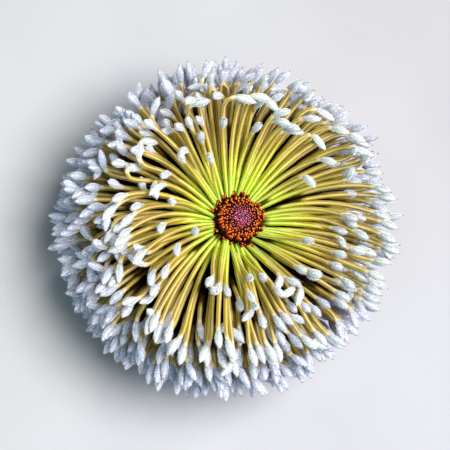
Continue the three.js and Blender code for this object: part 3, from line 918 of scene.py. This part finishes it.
def lay_hairs_tree():
    """Sets a thin, pointed hair on scattered points of the skin, laid along the limb."""
    tree, given = new_tree("lay_hairs", {
        "Hair Length": "Float", "Hair Radius": "Float", "Density": "Float",
        "Limb Length": "Float", "Rise": "Float", "Seed": "Int", "Material": "Material"})
    from_tip = add(tree, "GeometryNodeInputNamedAttribute", links=["from_tip"])
    forward = add(tree, "GeometryNodeInputNamedAttribute", {"data_type": "FLOAT_VECTOR"}, [
        "forward"])
    full, end = [
        add(tree, "ShaderNodeMath", {"operation": "MULTIPLY"}, [given["Limb Length"], reach])
        for reach in WOOL_REACH]
    woolly = add(tree, "ShaderNodeMapRange", {"interpolation_type": "SMOOTHSTEP"}, {
        "Value": from_tip, "From Min": end, "From Max": full})
    density = add(tree, "ShaderNodeMath", {"operation": "MULTIPLY"}, [given["Density"], woolly])
    scattered = add(tree, "GeometryNodeDistributePointsOnFaces", {"distribute_method": "RANDOM"}, {
        "Mesh": given["Geometry"], "Density": density, "Seed": given["Seed"]})
    ruffle = add(tree, "FunctionNodeRandomValue", {"data_type": "FLOAT_VECTOR"}, {
        "Min": (-HAIR_RUFFLE,) * 3, "Max": (HAIR_RUFFLE,) * 3, "Seed": HAIR_SEEDS["direction"]})
    raised = add(tree, "ShaderNodeVectorMath", {"operation": "MULTIPLY_ADD"}, [
        scattered.outputs["Normal"], given["Rise"], forward])
    direction = add(tree, "ShaderNodeVectorMath", {"operation": "ADD"}, [raised, ruffle])
    turned = add(tree, "FunctionNodeAlignRotationToVector", {"axis": "Z"}, {"Vector": direction})
    hair = add(tree, "GeometryNodeMeshCone", {"fill_type": "NGON"}, {
        "Vertices": HAIR_SIDES, "Radius Top": 0.0, "Radius Bottom": given["Hair Radius"],
        "Depth": given["Hair Length"]})
    grown = add(tree, "FunctionNodeRandomValue", {"data_type": "FLOAT"}, {
        "Min": HAIR_SPREAD[0], "Max": HAIR_SPREAD[1], "Seed": HAIR_SEEDS["length"]})
    shorter = add(tree, "ShaderNodeMapRange", links={
        "Value": from_tip, "From Min": SHORT_HAIRS[0], "From Max": SHORT_HAIRS[1],
        "To Min": SHORTEST_HAIRS, "To Max": 1.0})
    size = add(tree, "ShaderNodeMath", {"operation": "MULTIPLY"}, [grown, shorter])
    placed = add(tree, "GeometryNodeInstanceOnPoints", links={
        "Points": scattered, "Instance": hair, "Rotation": turned, "Scale": size})
    finish_tree(tree, placed, given["Material"])
    return tree


WOOL_FIBRE = wool_fibre()
LAY_HAIRS = lay_hairs_tree()


def make_wool(rows, florets, seed):
    """The wool of some rows' limbs, as one piece."""
    wool = grow("limb_wool_" + rows, florets.data.copy(), LAY_HAIRS, {
        "Hair Length": HAIR_LENGTH, "Hair Radius": HAIR_RADIUS, "Density": HAIR_DENSITY,
        "Limb Length": LIMB_LENGTH, "Rise": HAIR_RISE, "Seed": seed, "Material": WOOL_FIBRE})
    settle(wool, "floret_head")


def make_rows():
    """Makes the florets of each band of rows and the wool that grows on them."""
    first = 0
    for seed, (rows, highest) in enumerate(FLORET_ROWS.items(), HAIR_SEEDS["place"]):
        seats = range(first, round(SPIKE_SEATS * highest))
        make_wool(rows, make_florets(rows, seats), seed)
        first = seats.stop


make_rows()


# ---------------------------------------------------------------- growing tip
# The end of the axis, where new bracts form: a low dome packed with pointed velvet bracts in the
# same spiral as the florets, the youngest in the middle still felted purple. Larger bracts push
# out in tufts round its foot, between the highest florets.

TIP_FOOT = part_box("bract_crown")[0].z
TIP_RADIUS = 5.9 * MM
TIP_RIM, TIP_HEIGHT = 0.8 * MM, 4.3 * MM
TIP_FLATNESS = 2.2  # the higher, the flatter the dome is in its middle
TIP_SIDES = 48
TIP_RINGS = (1.0, 0.94, 0.84, 0.7, 0.54, 0.36, 0.18, 0.04)  # shares of its radius
TIP_BRACTS = 240
TIP_SIDE_BRACTS = 40  # more of them, which stand round the dome's side
TIP_CROWDING = 0.56  # at 0.5 the bracts would stand evenly, and above it they crowd in the middle
TIP_BRACT = {  # values in twos are for the middle of the dome and for its rim
    "turn": 0.05,  # radians off its place in the spiral
    "lean": (-76, -2),  # degrees from straight up
    "wobble": (4, 12),
    "length": (0.7 * MM, 2.5 * MM),
    "uneven": 0.2,  # how much their length differs
    "width": (0.3 * MM, 0.94 * MM),
    "thickness": (0.7, 1.6),  # as shares of the width
    "sunk": 0.3 * MM,
    "overhang": 0.1 * MM,  # at the rim
    "drop": 9 * MM,  # how fast those round the side come down
    "slope": 0.3,  # and how far they come out for it
}
TIP_BRACT_TRAITS = {"turn": 50, "lean": 51, "length": 52}
TUFTS, TUFT_BRACTS = 17, 4
TUFT = {"uneven": 0.3, "longer": 0.7 * MM}  # how much tufts differ in their place and length
TUFT_TRAITS = {"place": 57, "length": 59}
TUFT_BRACT = {
    "turn": math.radians(6),
    "lean": 62,
    "wobble": 18,
    "out": (-0.1 * MM, 0.6 * MM),  # from the dome's foot
    "up": (-0.2 * MM, 0.4 * MM),
    "length": (1.0 * MM, 1.6 * MM),
    "width": (0.8 * MM, 1.1 * MM),
}
TUFT_BRACT_TRAITS = {"turn": 53, "lean": 54, "up": 55, "length": 56, "out": 58, "width": 60}


def dome_height(distance):
    share = min(1, distance / TIP_RADIUS)
    return TIP_FOOT + TIP_RIM + (TIP_HEIGHT - TIP_RIM) * (1 - share ** TIP_FLATNESS)


def tip_bract(k):
    """A seat for bract k of the dome, from its middle outwards."""
    reach = ((k + 0.5) / TIP_BRACTS) ** TIP_CROWDING
    share = min(1, reach)
    lower = (reach - share) * TIP_BRACT["drop"]
    distance = share * (TIP_RADIUS + TIP_BRACT["overhang"]) + TIP_BRACT["slope"] * lower
    azimuth = k * GOLDEN_ANGLE + TIP_BRACT["turn"] * spread(k, TIP_BRACT_TRAITS["turn"])
    place = (distance * math.cos(azimuth), distance * math.sin(azimuth),
             dome_height(distance) - TIP_BRACT["sunk"] - lower)
    leaning = mix(*TIP_BRACT["lean"], share)
    leaning += mix(*TIP_BRACT["wobble"], share) * spread(k, TIP_BRACT_TRAITS["lean"])
    length = mix(*TIP_BRACT["length"], share)
    length *= 1 + TIP_BRACT["uneven"] * spread(k, TIP_BRACT_TRAITS["length"])
    width = mix(*TIP_BRACT["width"], share)
    thickness = width * mix(*TIP_BRACT["thickness"], share)
    return place, lean(azimuth, leaning), lean(azimuth, leaning + 90), (thickness, width, length)


def tuft_bract(k):
    """A seat for one of the larger bracts that push out in tufts round the foot of the dome."""
    tuft = k // TUFT_BRACTS
    out, up, length, width = [mix(*TUFT_BRACT[name], draw(k, TUFT_BRACT_TRAITS[name]))
                              for name in ("out", "up", "length", "width")]
    length += TUFT["longer"] * draw(tuft, TUFT_TRAITS["length"])
    tuft_place = tuft + TUFT["uneven"] * spread(tuft, TUFT_TRAITS["place"])
    azimuth = 2 * math.pi * tuft_place / TUFTS
    azimuth += TUFT_BRACT["turn"] * spread(k, TUFT_BRACT_TRAITS["turn"])
    leaning = TUFT_BRACT["lean"] + TUFT_BRACT["wobble"] * spread(k, TUFT_BRACT_TRAITS["lean"])
    distance = TIP_RADIUS + out
    place = (distance * math.cos(azimuth), distance * math.sin(azimuth), TIP_FOOT + up)
    return place, lean(azimuth, leaning), lean(azimuth, leaning + 90), (width, width, length)


def make_growing_tip():
    vertices = level_ring(TIP_RADIUS, TIP_FOOT, TIP_SIDES)
    for share in TIP_RINGS:
        distance = share * TIP_RADIUS
        vertices += level_ring(distance, dome_height(distance), TIP_SIDES)
    faces = closed_tube(len(TIP_RINGS) + 1, TIP_SIDES)
    settle(plain_object("tip_dome", vertices, faces, [VELVET]), "bract_crown")
    seats = [tip_bract(k) for k in range(TIP_BRACTS + TIP_SIDE_BRACTS)]
    seats += [tuft_bract(k) for k in range(TUFTS * TUFT_BRACTS)]
    settle(set_scales("tip_bracts", seats), "bract_crown")


make_growing_tip()
bpy.data.objects.remove(BRACT)


# ---------------------------------------------------------------- floor, lights and camera
# A plain pale floor and a broad soft light from above, with a violet fill light on the right and a
# teal one low on the left and in front. The camera looks almost straight down into the head.

FLOOR_REACH = 3  # from its middle to each side
PAPER_GRAIN = 60 * MM
CAMERA_DISTANCE = 400 * MM
CAMERA_TILT = math.radians(20)  # away from the head's axis
CAMERA_TURN = math.radians(57)  # from the front towards the left
VIEW_WIDTH = 125 * MM  # what the camera takes in from side to side at the head
TARGET = Vector((-0.4 * MM, 0.4 * MM, 38 * MM))
LIGHTS = {  # each a place, a diameter, watts and a colour
    "key_light": ((0.05, -0.03, 0.7), 0.34, 8.8, "#fffcf6"),
    "fill_light": ((0.6, 0.0, 0.35), 0.4, 1.1, "#b8a8ff"),
    "low_light": ((-0.55, -0.35, 0.3), 0.4, 1.5, "#a0dcec"),
}
ROOM_COLOUR, ROOM_STRENGTH = "#e4e5f0", 0.3


def studio_paper():
    """Seamless background paper: plain, pale and matt, with hardly any grain."""
    material, tree, surface = new_material("studio_paper")
    place = add(tree, "ShaderNodeTexCoord").outputs["Object"]
    grain = add(tree, "ShaderNodeTexNoise", links={"Vector": place, "Scale": 1 / PAPER_GRAIN})
    colour = add(tree, "ShaderNodeValToRGB", {"stops": [
        (0.4, "#a6a8ab"), (0.6, "#aaacaf")]}, [grain])
    fill(tree, surface, {"Base Color": colour, "Roughness": 0.9})
    return material


def add_light(name, place, diameter, watts, colour):
    light = bpy.data.lights.new(name, "AREA")
    light.shape = "DISK"
    light.size = diameter
    light.energy = watts
    light.color = linear(colour)[:3]
    lamp = bpy.data.objects.new(name, light)
    lamp.location = place
    lamp.rotation_euler = (TARGET - Vector(place)).to_track_quat("-Z", "Y").to_euler()
    bpy.context.scene.collection.objects.link(lamp)


def make_studio():
    corners = [(FLOOR_REACH * x, FLOOR_REACH * y, 0) for x, y in ((-1, -1), (1, -1), (1, 1), (-1, 1))]
    floor = plain_object("floor", corners, [(0, 1, 2, 3)], [studio_paper()], smooth=False)
    for name, (place, diameter, watts, colour) in LIGHTS.items():
        add_light(name, place, diameter, watts, colour)
    world = bpy.data.worlds.new("studio")
    bpy.context.scene.world = world
    world.use_nodes = True
    background = world.node_tree.nodes["Background"]
    background.inputs["Color"].default_value = linear(ROOM_COLOUR)
    background.inputs["Strength"].default_value = ROOM_STRENGTH


def make_camera():
    camera = bpy.data.objects.new("camera", bpy.data.cameras.new("camera"))
    away = Vector((-math.sin(CAMERA_TILT) * math.sin(CAMERA_TURN),
                   -math.sin(CAMERA_TILT) * math.cos(CAMERA_TURN), math.cos(CAMERA_TILT)))
    up = Vector((0, 1, 0))
    side = up.cross(away).normalized()
    camera.location = TARGET + away * CAMERA_DISTANCE
    turned = np.array([side, away.cross(side), away]).T
    camera.rotation_euler = Matrix(turned.tolist()).to_euler()
    camera.data.lens = camera.data.sensor_width * CAMERA_DISTANCE / VIEW_WIDTH
    bpy.context.scene.collection.objects.link(camera)
    bpy.context.scene.camera = camera


make_studio()
make_camera()
bpy.context.scene.view_settings.view_transform = "Standard"
